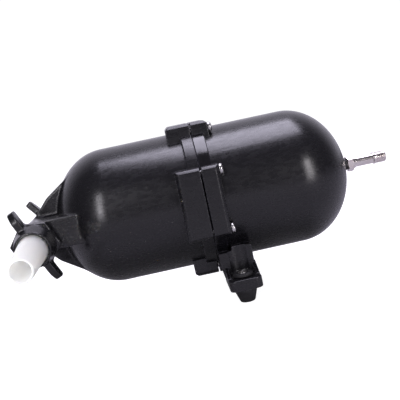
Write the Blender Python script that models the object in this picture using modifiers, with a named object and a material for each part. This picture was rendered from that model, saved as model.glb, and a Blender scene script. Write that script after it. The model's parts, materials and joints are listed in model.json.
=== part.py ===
"""Diaphragm pressure surge tank for a small water pump, as an assembly of separate pieces.

Metres, +Z up. The tank's axis runs along X: the water half with its two hose ports points to -X and
the gas half with its air valve points to +X. The rubber feet stand at Z = 0. Heights in the turned
outlines are measured along the piece's own axis, outward from the part line or the tank's middle.
"""
import math

import bmesh
import bpy
from mathutils import Matrix, Vector

MM = 0.001
GAP = 0.3 * MM                      # air between pieces that touch

# Capsule body: two half shells that meet at the part line
BODY_R = 45.7 * MM
WALL = 4 * MM
STRAIGHT = 62 * MM                  # part line to the start of a dome
DOME_END = 100.3 * MM  # part line to a dome's tip
SHELL_STEPS = 48
DOME_SEGMENTS = 9

# Flange ring, bolt lugs and the seat that pinches the bladder's bead
RING_R = 48.4 * MM
WATER_RING = 7.6 * MM               # ring width on the water half
GAS_RING = 8.2 * MM
RING_CHAMFER = 0.7 * MM
LUG_REACH = 50.8 * MM  # lug face from the tank's axis
LUG_ROOT = 37 * MM
LUG_HALF = 22.8 * MM
WATER_LUG = 16.3 * MM               # lug depth on the water half
GAS_LUG = 11.7 * MM
LUG_CHAMFER = 0.8 * MM
LUG_START = GAP                     # lugs stand back a little from the part line
SEAT_R = 46.2 * MM
SEAT_DEPTH = 1.8 * MM

# Flange screws
SCREW_SIDE = 19.1 * MM              # from the lug's middle
SCREW_REACH = 45.6 * MM  # from the tank's axis, toward the lug's face
SCREW_R = 2.0 * MM
SCREW_HOLE_R = SCREW_R + GAP
SCREW_HEAD_R = 3.55 * MM
SCREW_HEAD = 2.6 * MM
SCREW_DEPTH = 12 * MM               # thread below the part line
SCREW_STEPS = 16

# Bladder
BLADDER = 1.6 * MM
BLADDER_CLEARANCE = 0.7 * MM
BLADDER_STEPS = 36
BEAD_INNER_R = 42 * MM
BEAD_OUTER_R = 45.8 * MM
BEAD_HALF = 1.4 * MM

# Port tee on the water end
PORT_X = 111.2 * MM  # port axis from the part line
PORT_DROOP = math.radians(5.0)      # both ports slope down by this much
TEE_HALF_WIDTH = 38.5 * MM
TEE_R = 10 * MM
TEE_BORE_R = 5 * MM
TEE_ROOT = 76 * MM
SLAB_HALF_WIDTH = TEE_HALF_WIDTH - GAP
SLAB_HALF = TEE_R - GAP
WEB_HALF = 14 * MM
WEB_OUTLINE = ((114, 9.5), (103, 21.5), (84, 34), (75, 36))     # mm: part line distance, half height
SPIGOT_R = 10.4 * MM
SPIGOT_START = 37 * MM
SPIGOT_END = 49 * MM
SOCKET_R = 8.2 * MM
SOCKET_START = 42.8 * MM
PORT_STEPS = 24

# Hose barb
BARB_TIP = 100 * MM
BARB_ROOT_R = 9.3 * MM
BARB_BORE_R = 5.7 * MM
COLLAR_R = SPIGOT_R
COLLAR_BOTTOM = SPIGOT_END + 0.4 * MM
COLLAR_TOP = 51.2 * MM
NOSE_R = 7.6 * MM
NOSE_END = 43.4 * MM
GROOVE_R = 6.2 * MM
GROOVE_LOW = 45.2 * MM
GROOVE_HIGH = 47.6 * MM
O_RING_R = 7.2 * MM
O_RING_WIRE_R = 0.7 * MM
O_RING_SIDES = 6
O_RING_STEPS = 20

# Wing nut
NUT_BACK = 39.6 * MM
NUT_FRONT = 56 * MM
NUT_SHOULDER = COLLAR_TOP + GAP
NUT_RIM_R = 16 * MM                 # to the hexagon's corners
NUT_HEX_FRONT = 43.6 * MM
NUT_CONE_R = 13.4 * MM
NUT_CONE_START = 41 * MM
NUT_CONE_END = 46 * MM              # where the cone starts to taper
NUT_FRONT_R = 11.6 * MM
NUT_THREAD_R = 10.8 * MM
NUT_HOLE_R = 9.7 * MM
WING_TIP_R = 25.6 * MM
WING_ROOT_R = 13 * MM
WING_THICK = 4.8 * MM
WING_BEVEL = 1 * MM
WING_BACK = 40 * MM
WING_FRONT = 46.6 * MM
FRONT_WING_ANGLE = math.radians(113.5)
REAR_WING_ANGLE = math.radians(-128)

# Air valve on the gas end
VALVE_TIP = 130.3 * MM
VALVE_INNER_END = 88.3 * MM
SHANK_R = 3.0 * MM
BOSS_R = 8 * MM
BOSS_START = 90 * MM
HEX_START = 102.75 * MM
HEX_END = 107 * MM
HEX_ACROSS = 10 * MM
SEAL_START = DOME_END + GAP
SEAL_END = HEX_START - GAP
SEAL_R = 4.2 * MM
VALVE_BORE_R = 2.65 * MM
VALVE_NARROW_R = 1.3 * MM
CORE_START = 115.7 * MM
CORE_END = 129.4 * MM
CORE_R = VALVE_BORE_R - GAP
CORE_BORE_R = 0.95 * MM
PIN_R = 0.6 * MM
PIN_START = 110.6 * MM
PIN_END = 129.9 * MM
DISC_R = 2.0 * MM
DISC_START = 114.2 * MM
DISC_END = CORE_START - GAP
SPRING_R = 1.45 * MM
SPRING_WIRE_R = 0.22 * MM
SPRING_START = 110.9 * MM
SPRING_END = 113.6 * MM
SPRING_TURNS = 4
VALVE_STEPS = 24

# Foot brackets under the gas half, in the tank's frame
FOOT_X = 12.7 * MM  # grommet axis
FOOT_Y = 50 * MM
LEG_X = (0.7 * MM, 22.6 * MM)
LEG_Y = (28 * MM, 40 * MM)
LEG_STEP_X = 9.8 * MM
LEG_BOTTOM = -53.5 * MM
LEG_TAPER = 1.6 * MM  # how far the flange side of the leg leans in toward the plate
LEG_TAPER_TOP = -44.5 * MM
LEG_LOW_TOP = -35.2 * MM
LEG_HIGH_TOP = -32.5 * MM
PLATE_X = (2.5 * MM, 23.5 * MM)
PLATE_Y = (27.6 * MM, 61 * MM)
PLATE_Z = (-57 * MM, -50 * MM)
PLATE_CORNER = 4 * MM
GUSSET = 2.4 * MM
GUSSET_TOP = -44 * MM
GUSSET_REACH = 52 * MM
SCALLOP_R = 8.4 * MM
SCALLOP_Y = 45.5 * MM
GROMMET_HOLE_R = 4.5 * MM

# Rubber foot and its steel bush
RUBBER_TOP = -47.5 * MM
RUBBER_BOTTOM = -66.3 * MM
RUBBER_COLLAR_R = 6.5 * MM
RUBBER_STEM_R = GROMMET_HOLE_R - GAP
BUMPER_TOP_R = 7.2 * MM
BUMPER_BOTTOM_R = 4.7 * MM
BUMPER_LIP = 2 * MM
BUSH_R = 3.0 * MM
BUSH_BORE_R = 2.2 * MM
BUSH_TOP = -47.2 * MM
BUSH_BOTTOM = -57 * MM
BUMPER_BORE_R = 2.4 * MM            # screw clearance below the bush, which sits on this step
RUBBER_STEPS = 24

# Where the tank sits in the part's frame
AXIS_HEIGHT = -RUBBER_BOTTOM
WING_REACH = (
    (WING_BEVEL - WING_TIP_R) * math.cos(REAR_WING_ANGLE) - WING_THICK / 2 * math.sin(REAR_WING_ANGLE)
)
TANK_X = (PORT_X + WING_REACH - VALVE_TIP) / 2   # centres the part, from wing tip to valve tip

BLACK_PLASTIC = ((0.020, 0.020, 0.023, 1), 0.42, 0.0)
WHITE_NYLON = ((0.82, 0.82, 0.80, 1), 0.35, 0.0)
STAINLESS = ((0.62, 0.61, 0.59, 1), 0.28, 1.0)
NICKEL = ((0.66, 0.63, 0.60, 1), 0.20, 1.0)
BRASS = ((0.70, 0.52, 0.22, 1), 0.30, 1.0)
BLACK_RUBBER = ((0.025, 0.025, 0.026, 1), 0.75, 0.0)


# ---------------------------------------------------------------- scene and helpers

def clear_scene():
    for thing in list(bpy.data.objects):
        bpy.data.objects.remove(thing, do_unlink=True)


def new_collection(name):
    collection = bpy.data.collections.new(name)
    bpy.context.scene.collection.children.link(collection)
    return collection


clear_scene()
PARTS = new_collection("pressure_surge_tank")
TOOLS = new_collection("cutters_and_joined_shapes")


def new_frame(name, parent=None, location=(0, 0, 0), rotation=(0, 0, 0)):
    """An empty whose local Z is the axis that its pieces are turned about."""
    frame = bpy.data.objects.new(name, None)
    TOOLS.objects.link(frame)
    frame.parent = parent
    frame.location = location
    frame.rotation_euler = rotation
    return frame


TANK = new_frame("tank_frame", location=(TANK_X, 0, AXIS_HEIGHT))
WATER_AXIS = new_frame("water_axis", TANK, rotation=(0, -math.pi / 2, 0))
GAS_AXIS = new_frame("gas_axis", TANK, rotation=(0, math.pi / 2, 0))
FRONT_PORT = new_frame("front_port_axis", TANK, (-PORT_X, 0, 0), (math.pi / 2 + PORT_DROOP, 0, 0))
REAR_PORT = new_frame("rear_port_axis", TANK, (-PORT_X, 0, 0), (-math.pi / 2 - PORT_DROOP, 0, 0))


def new_material(name, look):
    color, roughness, metallic = look
    material = bpy.data.materials.new(name)
    material.use_nodes = True
    shader = material.node_tree.nodes["Principled BSDF"]
    shader.inputs["Base Color"].default_value = color
    shader.inputs["Roughness"].default_value = roughness
    shader.inputs["Metallic"].default_value = metallic
    return material


def add_object(name, mesh, parent, look=None, location=(0, 0, 0), rotation=(0, 0, 0)):
    """A piece when it has a look, and otherwise a shape that cuts or joins other pieces."""
    thing = bpy.data.objects.new(name, mesh)
    thing.parent = parent
    thing.location = location
    thing.rotation_euler = rotation
    if look:
        PARTS.objects.link(thing)
        mesh.materials.append(new_material(name, look))
    else:
        TOOLS.objects.link(thing)
        thing.hide_render = True
        thing.display_type = "WIRE"
    return thing


def turned(name, outline, parent, look=None, steps=32, closed=False, **place):
    """Turn an outline of (radius, height) points, listed down its outer side, about local Z."""
    mesh = bpy.data.meshes.new(name)
    edges = [(i, i + 1) for i in range(len(outline) - 1)]
    if closed:
        edges.append((len(outline) - 1, 0))
    mesh.from_pydata([(radius, 0, height) for radius, height in outline], edges, [])
    thing = add_object(name, mesh, parent, look, **place)
    screw = thing.modifiers.new("turn", "SCREW")
    screw.axis = "Z"
    screw.steps = steps
    screw.render_steps = steps
    screw.use_merge_vertices = True
    screw.merge_threshold = 0.00001
    screw.use_smooth_shade = True
    return thing


def boxes(name, corners, parent, chamfer=0, look=None):
    """One object of axis-aligned boxes, each given as its low corner and high corner."""
    solid = bmesh.new()
    for low, high in corners:
        low, high = Vector(low), Vector(high)
        place = Matrix.Translation((low + high) / 2) @ Matrix.Diagonal((*(high - low), 1))
        bmesh.ops.create_cube(solid, size=1, matrix=place)
    return finish_mesh(name, solid, parent, chamfer, look)


def cylinders(name, radius, low, high, centres, parent, steps=16):
    """Upright cylinders of one size along the parent's Z, one at each (x, y) centre."""
    solid = bmesh.new()
    for x, y in centres:
        place = Matrix.Translation((x, y, (low + high) / 2))
        bmesh.ops.create_cone(solid, cap_ends=True, segments=steps, radius1=radius, radius2=radius,
                              depth=high - low, matrix=place)
    return finish_mesh(name, solid, parent)


def finish_mesh(name, solid, parent, chamfer=0, look=None):
    mesh = bpy.data.meshes.new(name)
    solid.to_mesh(mesh)
    solid.free()
    thing = add_object(name, mesh, parent, look)
    if chamfer:
        bevel = thing.modifiers.new("chamfer", "BEVEL")
        bevel.width = chamfer
        bevel.segments = 1
    return thing


def plate(name, outline, thickness, parent, **place):
    """A flat outline in local XY, given thickness along Z and made a mesh that can be joined."""
    curve = bpy.data.curves.new(name, "CURVE")
    curve.dimensions = "2D"
    curve.fill_mode = "BOTH"
    curve.extrude = thickness / 2
    spline = curve.splines.new("POLY")
    spline.points.add(len(outline) - 1)
    for point, (x, y) in zip(spline.points, outline):
        point.co = (x, y, 0, 1)
    spline.use_cyclic_u = True
    return add_object(name, mesh_from_curve(name, curve), parent, **place)


def mesh_from_curve(name, curve):
    """The closed mesh of a curve, with its loose caps welded on."""
    guide = bpy.data.objects.new(name + "_curve", curve)
    TOOLS.objects.link(guide)
    bpy.context.view_layer.update()
    evaluated = guide.evaluated_get(bpy.context.evaluated_depsgraph_get())
    mesh = bpy.data.meshes.new_from_object(evaluated)
    bpy.data.objects.remove(guide, do_unlink=True)
    solid = bmesh.new()
    solid.from_mesh(mesh)
    bmesh.ops.remove_doubles(solid, verts=solid.verts, dist=0.000001)
    bmesh.ops.recalc_face_normals(solid, faces=solid.faces)
    solid.to_mesh(mesh)
    solid.free()
    return mesh


def combine(target, operation, tools):
    for tool in tools:
        boolean = target.modifiers.new(operation.lower() + "_" + tool.name, "BOOLEAN")
        boolean.operation = operation
        boolean.solver = "EXACT"
        boolean.object = tool


def join(target, *tools):
    combine(target, "UNION", tools)


def cut(target, *tools):
    combine(target, "DIFFERENCE", tools)


# ---------------------------------------------------------------- half shells

def dome(radius, depth):
    """Quarter ellipse from the dome's tip to the start of the straight wall."""
    points = []
    for i in range(DOME_SEGMENTS + 1):
        angle = math.pi / 2 * i / DOME_SEGMENTS
        points.append((radius * math.sin(angle), STRAIGHT + depth * math.cos(angle)))
    return points


def half_shell(name, axis, ring):
    """The outside of one half: dome, straight wall and flange ring, still solid."""
    outline = dome(BODY_R, DOME_END - STRAIGHT)
    outline += [(BODY_R, ring), (RING_R - RING_CHAMFER, ring), (RING_R, ring - RING_CHAMFER)]
    outline += [(RING_R, GAP / 2), (0, GAP / 2)]
    return turned(name, outline, axis, BLACK_PLASTIC, SHELL_STEPS)


def shell_cavity(name, axis):
    """The space inside one half, with the step that takes the bladder's bead."""
    outline = dome(BODY_R - WALL, DOME_END - WALL - STRAIGHT)
    outline += [(BODY_R - WALL, SEAT_DEPTH), (SEAT_R, SEAT_DEPTH), (SEAT_R, -WALL), (0, -WALL)]
    return turned(name, outline, axis, steps=SHELL_STEPS)


def four_ways(points):
    """The same (reach, side) points on the four sides of the tank."""
    placed = []
    for quarter in range(4):
        turn = Matrix.Rotation(quarter * math.pi / 2, 2)
        placed += [turn @ Vector(point) for point in points]
    return placed


def lugs(name, axis, depth):
    """Four bolt lugs, each a box that reaches from inside the wall to the lug's face."""
    corners = []
    for quarter in range(4):
        turn = Matrix.Rotation(quarter * math.pi / 2, 2)
        a = turn @ Vector((LUG_ROOT, -LUG_HALF))
        b = turn @ Vector((LUG_REACH, LUG_HALF))
        low = (min(a.x, b.x), min(a.y, b.y), LUG_START)
        high = (max(a.x, b.x), max(a.y, b.y), depth)
        corners.append((low, high))
    return boxes(name, corners, axis, LUG_CHAMFER)


SCREW_CENTRES = four_ways(((SCREW_REACH, -SCREW_SIDE), (SCREW_REACH, SCREW_SIDE)))


def build_water_shell():
    shell = half_shell("water_shell", WATER_AXIS, WATER_RING)
    edge = [(-distance * MM, half * MM) for distance, half in WEB_OUTLINE]
    web = edge + [(x, -z) for x, z in reversed(edge)]
    join(
        shell,
        lugs("water_lugs", WATER_AXIS, WATER_LUG),
        plate("tee_web", web, 2 * WEB_HALF, TANK, rotation=(math.pi / 2, 0, 0)),
        boxes("tee_slab", [((-PORT_X, -SLAB_HALF_WIDTH, -SLAB_HALF), (-TEE_ROOT, SLAB_HALF_WIDTH, SLAB_HALF))],
              TANK),
        turned("tee_tube", [(0, TEE_HALF_WIDTH), (TEE_R, TEE_HALF_WIDTH), (TEE_R, -TEE_HALF_WIDTH),
                            (0, -TEE_HALF_WIDTH)], TANK, steps=PORT_STEPS,
               location=(-PORT_X, 0, 0), rotation=(math.pi / 2, 0, 0)),
        cylinders("front_spigot", SPIGOT_R, SPIGOT_START, SPIGOT_END, [(0, 0)], FRONT_PORT, PORT_STEPS),
        cylinders("rear_spigot", SPIGOT_R, SPIGOT_START, SPIGOT_END, [(0, 0)], REAR_PORT, PORT_STEPS),
    )
    passage = cylinders("tank_passage", TEE_BORE_R, STRAIGHT, PORT_X, [(0, 0)], WATER_AXIS, PORT_STEPS)
    cut(
        shell,
        shell_cavity("water_space", WATER_AXIS),
        cylinders("water_screw_holes", SCREW_HOLE_R, -WALL, SCREW_DEPTH + 2 * MM, SCREW_CENTRES, WATER_AXIS),
        passage,
    )
    for side, port in (("front", FRONT_PORT), ("rear", REAR_PORT)):
        bore = turned(
            side + "_port_bore",
            [(0, SPIGOT_END + WALL), (SOCKET_R, SPIGOT_END + WALL), (SOCKET_R, SOCKET_START),
             (TEE_BORE_R, SOCKET_START), (TEE_BORE_R, 0), (0, 0)],
            port, steps=PORT_STEPS,
        )
        cut(shell, bore)


def foot_leg(name, side):
    """Block between the shell and the plate, with a small step in its top."""
    outline = [
        (LEG_X[0] + LEG_TAPER, LEG_BOTTOM), (LEG_X[1], LEG_BOTTOM), (LEG_X[1], LEG_HIGH_TOP),
        (LEG_STEP_X, LEG_HIGH_TOP), (LEG_STEP_X, LEG_LOW_TOP), (LEG_X[0], LEG_LOW_TOP),
        (LEG_X[0], LEG_TAPER_TOP),
    ]
    middle = (0, side * sum(LEG_Y) / 2, 0)
    return plate(name, outline, LEG_Y[1] - LEG_Y[0], TANK, location=middle, rotation=(math.pi / 2, 0, 0))


def foot_plate(name, side):
    outline = [
        (PLATE_X[0], side * PLATE_Y[0]),
        (PLATE_X[0], side * (PLATE_Y[1] - PLATE_CORNER)),
        (PLATE_X[0] + PLATE_CORNER, side * PLATE_Y[1]),
        (PLATE_X[1] - PLATE_CORNER, side * PLATE_Y[1]),
        (PLATE_X[1], side * (PLATE_Y[1] - PLATE_CORNER)),
        (PLATE_X[1], side * PLATE_Y[0]),
    ]
    middle = (0, 0, sum(PLATE_Z) / 2)
    return plate(name, outline, PLATE_Z[1] - PLATE_Z[0], TANK, location=middle)


def foot_gusset(name, side, x):
    """Triangular rib between the leg's front and the plate, in a plane across the tank."""
    outline = [
        (side * (LEG_Y[1] - GUSSET), PLATE_Z[1] - GUSSET),
        (side * GUSSET_REACH, PLATE_Z[1] - GUSSET),
        (side * GUSSET_REACH, PLATE_Z[1]),
        (side * (LEG_Y[1] - GUSSET), GUSSET_TOP),
    ]
    return plate(name, outline, GUSSET, TANK, location=(x, 0, 0), rotation=(math.pi / 2, 0, math.pi / 2))


def build_gas_shell():
    shell = half_shell("gas_shell", GAS_AXIS, GAS_RING)
    join(shell, lugs("gas_lugs", GAS_AXIS, GAS_LUG))
    for label, side in (("front", -1), ("rear", 1)):
        join(
            shell,
            foot_leg(label + "_leg", side),
            foot_plate(label + "_foot_plate", side),
            foot_gusset(label + "_flange_gusset", side, PLATE_X[0] + GAP + GUSSET / 2),
            foot_gusset(label + "_outer_gusset", side, PLATE_X[1] - GAP - GUSSET / 2),
        )
    feet = [(FOOT_X, -FOOT_Y), (FOOT_X, FOOT_Y)]
    scallops = [(FOOT_X, -SCALLOP_Y), (FOOT_X, SCALLOP_Y)]
    cut(
        shell,
        shell_cavity("gas_space", GAS_AXIS),
        cylinders("gas_screw_holes", SCREW_HOLE_R, -WALL, GAS_LUG + WALL, SCREW_CENTRES, GAS_AXIS),
        cylinders("grommet_holes", GROMMET_HOLE_R, RUBBER_BOTTOM, RUBBER_TOP, feet, TANK, RUBBER_STEPS),
        cylinders("driver_scallops", SCALLOP_R, PLATE_Z[1] + GAP, LEG_HIGH_TOP + MM, scallops, TANK, RUBBER_STEPS),
    )
    join(shell, cylinders("valve_boss", BOSS_R, BOSS_START, DOME_END - WALL / 2, [(0, 0)], GAS_AXIS, 24))
    cut(shell, cylinders("valve_hole", SHANK_R + GAP, VALVE_INNER_END, DOME_END + WALL, [(0, 0)], GAS_AXIS, 24))


def build_bladder():
    """Rubber cup that lines the water half, with its bead pinched between the two shells."""
    outer_r = BODY_R - WALL - BLADDER_CLEARANCE
    inner_r = outer_r - BLADDER
    outer_depth = DOME_END - WALL - BLADDER_CLEARANCE - STRAIGHT
    lip = BEAD_HALF - 0.5 * MM
    outline = dome(outer_r, outer_depth)
    outline += [(outer_r, lip), (BEAD_INNER_R, lip), (BEAD_INNER_R, BEAD_HALF), (BEAD_OUTER_R, BEAD_HALF)]
    outline += [(BEAD_OUTER_R, -BEAD_HALF), (BEAD_INNER_R, -BEAD_HALF), (BEAD_INNER_R, -lip), (inner_r, -lip)]
    outline += reversed(dome(inner_r, outer_depth - BLADDER))
    turned("bladder", outline, WATER_AXIS, BLACK_RUBBER, BLADDER_STEPS)


def build_flange_screws():
    """Pan head screws that enter from the gas side and thread into the water half's lugs."""
    seat = GAS_LUG + GAP
    top = seat + SCREW_HEAD
    outline = [
        (0, top - 1.0 * MM), (1.4 * MM, top), (2.7 * MM, top - 0.25 * MM), (SCREW_HEAD_R, top - 1.2 * MM),
        (SCREW_HEAD_R, seat), (SCREW_R, seat), (SCREW_R, -SCREW_DEPTH + SCREW_R), (0, -SCREW_DEPTH),
    ]
    for number, centre in enumerate(SCREW_CENTRES, start=1):
        turned(f"flange_screw_{number}", outline, GAS_AXIS, STAINLESS, SCREW_STEPS,
               location=(centre.x, centre.y, 0))


# ---------------------------------------------------------------- hose ports

def barb_outline():
    """Hose tail: tip, three low barbs, stem, collar, nose with an O-ring groove, then the bore."""
    outline = [(7.1 * MM, BARB_TIP), (7.6 * MM, BARB_TIP - 1.5 * MM)]
    for number in range(3):
        foot = BARB_TIP - (8 + 9 * number) * MM
        radius = (8.2 + 0.35 * number) * MM
        outline += [(radius, foot), (radius - 0.3 * MM, foot - 0.5 * MM)]
    outline += [
        (BARB_ROOT_R, BARB_TIP - 36 * MM), (BARB_ROOT_R, COLLAR_TOP), (COLLAR_R, COLLAR_TOP),
        (COLLAR_R, COLLAR_BOTTOM), (NOSE_R, COLLAR_BOTTOM), (NOSE_R, GROOVE_HIGH), (GROOVE_R, GROOVE_HIGH),
        (GROOVE_R, GROOVE_LOW), (NOSE_R, GROOVE_LOW), (NOSE_R, NOSE_END), (TEE_BORE_R, NOSE_END),
        (TEE_BORE_R, COLLAR_TOP), (BARB_BORE_R, BARB_TIP),
    ]
    return outline


def build_o_ring(name, port):
    outline = []
    for i in range(O_RING_SIDES):
        angle = math.pi / 2 - 2 * math.pi * i / O_RING_SIDES
        outline.append((O_RING_R + O_RING_WIRE_R * math.cos(angle), O_RING_WIRE_R * math.sin(angle)))
    middle = (GROOVE_LOW + GROOVE_HIGH) / 2
    turned(name, outline, port, BLACK_RUBBER, O_RING_STEPS, closed=True, location=(0, 0, middle))


def build_wing_nut(name, port, wing_angle):
    """Hexagonal nut with a cone in front and a wing on two of its corners, threaded behind its shoulder."""
    hexagon = [(0, NUT_HEX_FRONT), (NUT_RIM_R, NUT_HEX_FRONT), (NUT_RIM_R, NUT_BACK), (0, NUT_BACK)]
    nut = turned(name, hexagon, port, BLACK_PLASTIC, 6, rotation=(0, 0, wing_angle))
    cone = turned(
        name + "_cone",
        [(0, NUT_FRONT), (NUT_FRONT_R, NUT_FRONT), (NUT_CONE_R, NUT_CONE_END), (NUT_CONE_R, NUT_CONE_START),
         (0, NUT_CONE_START)],
        port, steps=PORT_STEPS,
    )
    wing_corners = []
    for way in (-1, 1):
        reach = sorted((way * WING_ROOT_R, way * WING_TIP_R))
        wing_corners.append(((reach[0], -WING_THICK / 2, WING_BACK), (reach[1], WING_THICK / 2, WING_FRONT)))
    wings = boxes(name + "_wings", wing_corners, port, WING_BEVEL)
    wings.rotation_euler = (0, 0, wing_angle)
    bore = turned(
        name + "_bore",
        [(0, NUT_FRONT + MM), (NUT_HOLE_R, NUT_FRONT + MM), (NUT_HOLE_R, NUT_SHOULDER),
         (NUT_THREAD_R, NUT_SHOULDER), (NUT_THREAD_R, NUT_BACK - MM), (0, NUT_BACK - MM)],
        port, steps=PORT_STEPS,
    )
    join(nut, cone, wings)
    cut(nut, bore)


def build_port(side, port, wing_angle):
    turned(side + "_hose_barb", barb_outline(), port, WHITE_NYLON, PORT_STEPS, closed=True)
    build_o_ring(side + "_o_ring", port)
    build_wing_nut(side + "_wing_nut", port, wing_angle)


# ---------------------------------------------------------------- air valve

def build_valve():
    body = turned(
        "valve_body",
        [
            (0, VALVE_TIP), (3.6 * MM, VALVE_TIP), (3.85 * MM, VALVE_TIP - 0.4 * MM), (3.85 * MM, 122.8 * MM),
            (4.15 * MM, 122.7 * MM), (4.15 * MM, 121.5 * MM), (3.45 * MM, 121.4 * MM), (3.45 * MM, 108.3 * MM),
            (3.9 * MM, 108.2 * MM), (3.9 * MM, HEX_END - GAP), (SHANK_R, HEX_END - GAP),
            (SHANK_R, VALVE_INNER_END), (0, VALVE_INNER_END),
        ],
        GAS_AXIS, NICKEL, VALVE_STEPS,
    )
    hexagon = cylinders("valve_hexagon", HEX_ACROSS / math.sqrt(3), HEX_START, HEX_END, [(0, 0)], GAS_AXIS, 6)
    bore = turned(
        "valve_bore",
        [(0, VALVE_TIP + MM), (VALVE_BORE_R, VALVE_TIP + MM), (VALVE_BORE_R, 109.5 * MM),
         (VALVE_NARROW_R, 109 * MM), (VALVE_NARROW_R, VALVE_INNER_END - MM), (0, VALVE_INNER_END - MM)],
        GAS_AXIS, steps=VALVE_STEPS,
    )
    join(body, hexagon)
    cut(body, bore)


def ring(name, inner_r, outer_r, low, high, look):
    outline = [(outer_r, high), (outer_r, low), (inner_r, low), (inner_r, high)]
    turned(name, outline, GAS_AXIS, look, VALVE_STEPS, closed=True)


def build_valve_core():
    ring("valve_seal", SHANK_R + GAP, SEAL_R, SEAL_START, SEAL_END, BLACK_RUBBER)
    ring("valve_core", CORE_BORE_R, CORE_R, CORE_START, CORE_END, BRASS)
    turned(
        "valve_pin",
        [(0, PIN_END), (PIN_R, PIN_END), (PIN_R, DISC_END), (DISC_R, DISC_END), (DISC_R, DISC_START),
         (PIN_R, DISC_START), (PIN_R, PIN_START), (0, PIN_START)],
        GAS_AXIS, BRASS, 16,
    )


def build_valve_spring():
    """Coil spring around the pin, at its shortest length so that it can travel with the pin."""
    curve = bpy.data.curves.new("valve_spring", "CURVE")
    curve.dimensions = "3D"
    curve.bevel_depth = SPRING_WIRE_R
    curve.bevel_resolution = 1
    curve.use_fill_caps = True
    spline = curve.splines.new("POLY")
    count = SPRING_TURNS * 12
    spline.points.add(count)
    for i, point in enumerate(spline.points):
        angle = 2 * math.pi * i / 12
        height = SPRING_START + (SPRING_END - SPRING_START) * i / count
        point.co = (SPRING_R * math.cos(angle), SPRING_R * math.sin(angle), height, 1)
    add_object("valve_spring", mesh_from_curve("valve_spring", curve), GAS_AXIS, STAINLESS)


# ---------------------------------------------------------------- feet

def build_rubber_foot(side, place_y):
    """Grommet collar above the plate, stem through it and a tapered bumper below, with a steel bush."""
    bore = BUSH_R + GAP
    step = BUSH_BOTTOM - GAP
    outline = [
        (RUBBER_COLLAR_R, RUBBER_TOP), (RUBBER_COLLAR_R, PLATE_Z[1] + GAP), (RUBBER_STEM_R, PLATE_Z[1] + GAP),
        (RUBBER_STEM_R, PLATE_Z[0] - GAP), (BUMPER_TOP_R, PLATE_Z[0] - GAP),
        (BUMPER_TOP_R, PLATE_Z[0] - BUMPER_LIP), (BUMPER_BOTTOM_R, RUBBER_BOTTOM),
        (BUMPER_BORE_R, RUBBER_BOTTOM), (BUMPER_BORE_R, step), (bore, step), (bore, RUBBER_TOP),
    ]
    place = (FOOT_X, place_y, 0)
    turned(side + "_rubber_foot", outline, TANK, BLACK_RUBBER, RUBBER_STEPS, closed=True, location=place)
    sleeve = [(BUSH_R, BUSH_TOP), (BUSH_R, BUSH_BOTTOM), (BUSH_BORE_R, BUSH_BOTTOM), (BUSH_BORE_R, BUSH_TOP)]
    turned(side + "_foot_bush", sleeve, TANK, STAINLESS, RUBBER_STEPS, closed=True, location=place)


build_water_shell()
build_gas_shell()
build_bladder()
build_flange_screws()
build_port("front", FRONT_PORT, FRONT_WING_ANGLE)
build_port("rear", REAR_PORT, REAR_WING_ANGLE)
build_valve()
build_valve_core()
build_valve_spring()
build_rubber_foot("front", -FOOT_Y)
build_rubber_foot("rear", FOOT_Y)
bpy.context.view_layer.update()
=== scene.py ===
"""Looks for the diaphragm surge tank: moulded shells, hose fittings, screws, air valve and rubber feet.

Every piece is built in millimetres in one of the frames below, whose matrix places it in metres in the
row frame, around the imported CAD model. Outlines of turned pieces are (radius, height) points along the
frame's Z; a third number in a point is that corner's own radius.
"""
import json
import math

import bmesh
import bpy
import numpy as np
import openvdb
from mathutils import Matrix, Vector


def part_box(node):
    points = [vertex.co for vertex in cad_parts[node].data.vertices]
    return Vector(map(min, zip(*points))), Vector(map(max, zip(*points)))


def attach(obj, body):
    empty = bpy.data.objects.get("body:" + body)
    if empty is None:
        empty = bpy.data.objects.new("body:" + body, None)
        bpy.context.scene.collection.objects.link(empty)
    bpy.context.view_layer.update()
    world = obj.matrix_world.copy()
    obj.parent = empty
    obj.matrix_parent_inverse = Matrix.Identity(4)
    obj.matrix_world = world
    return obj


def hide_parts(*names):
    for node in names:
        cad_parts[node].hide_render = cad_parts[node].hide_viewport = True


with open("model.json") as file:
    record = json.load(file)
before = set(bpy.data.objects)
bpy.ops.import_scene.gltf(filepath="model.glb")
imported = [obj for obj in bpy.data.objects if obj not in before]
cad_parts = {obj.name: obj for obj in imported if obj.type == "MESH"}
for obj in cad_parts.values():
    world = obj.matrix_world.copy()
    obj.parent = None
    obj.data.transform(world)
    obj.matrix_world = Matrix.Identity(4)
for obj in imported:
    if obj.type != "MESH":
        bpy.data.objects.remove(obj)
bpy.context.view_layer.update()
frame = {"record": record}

# Where the tank sits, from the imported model, in metres. The sizes below are in millimetres
MM = 0.001
PART_LINE = (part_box("water_shell")[1].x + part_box("gas_shell")[0].x) / 2
AXIS_HEIGHT = sum(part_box("valve_core")[i].z for i in (0, 1)) / 2
MIDDLE = Vector((PART_LINE, 0, AXIS_HEIGHT))
GAP = 0.3                   # air between pieces that touch
TINY = 1e-6                 # what still counts as zero

# Shells. Heights run outward from the part line
BODY_R = 45.7
WALL = 4
STRAIGHT = 62               # where the domes start
DOME_END = 100.3
RING_R = 48.4
WATER_RING = 7.6            # ring width on each half
GAS_RING = 8.2
LUG_REACH = 50.8
LUG_ROOT = 37
LUG_HALF = 22.8
WATER_LUG = 16.3            # lug depth on each half
GAS_LUG = 11.7
LUG_CHAMFER = 2.0
LUG_EDGE = 0.6
SEAT_R = 46.2
SEAT_DEPTH = 1.8
TURN_STEPS = 128

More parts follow.
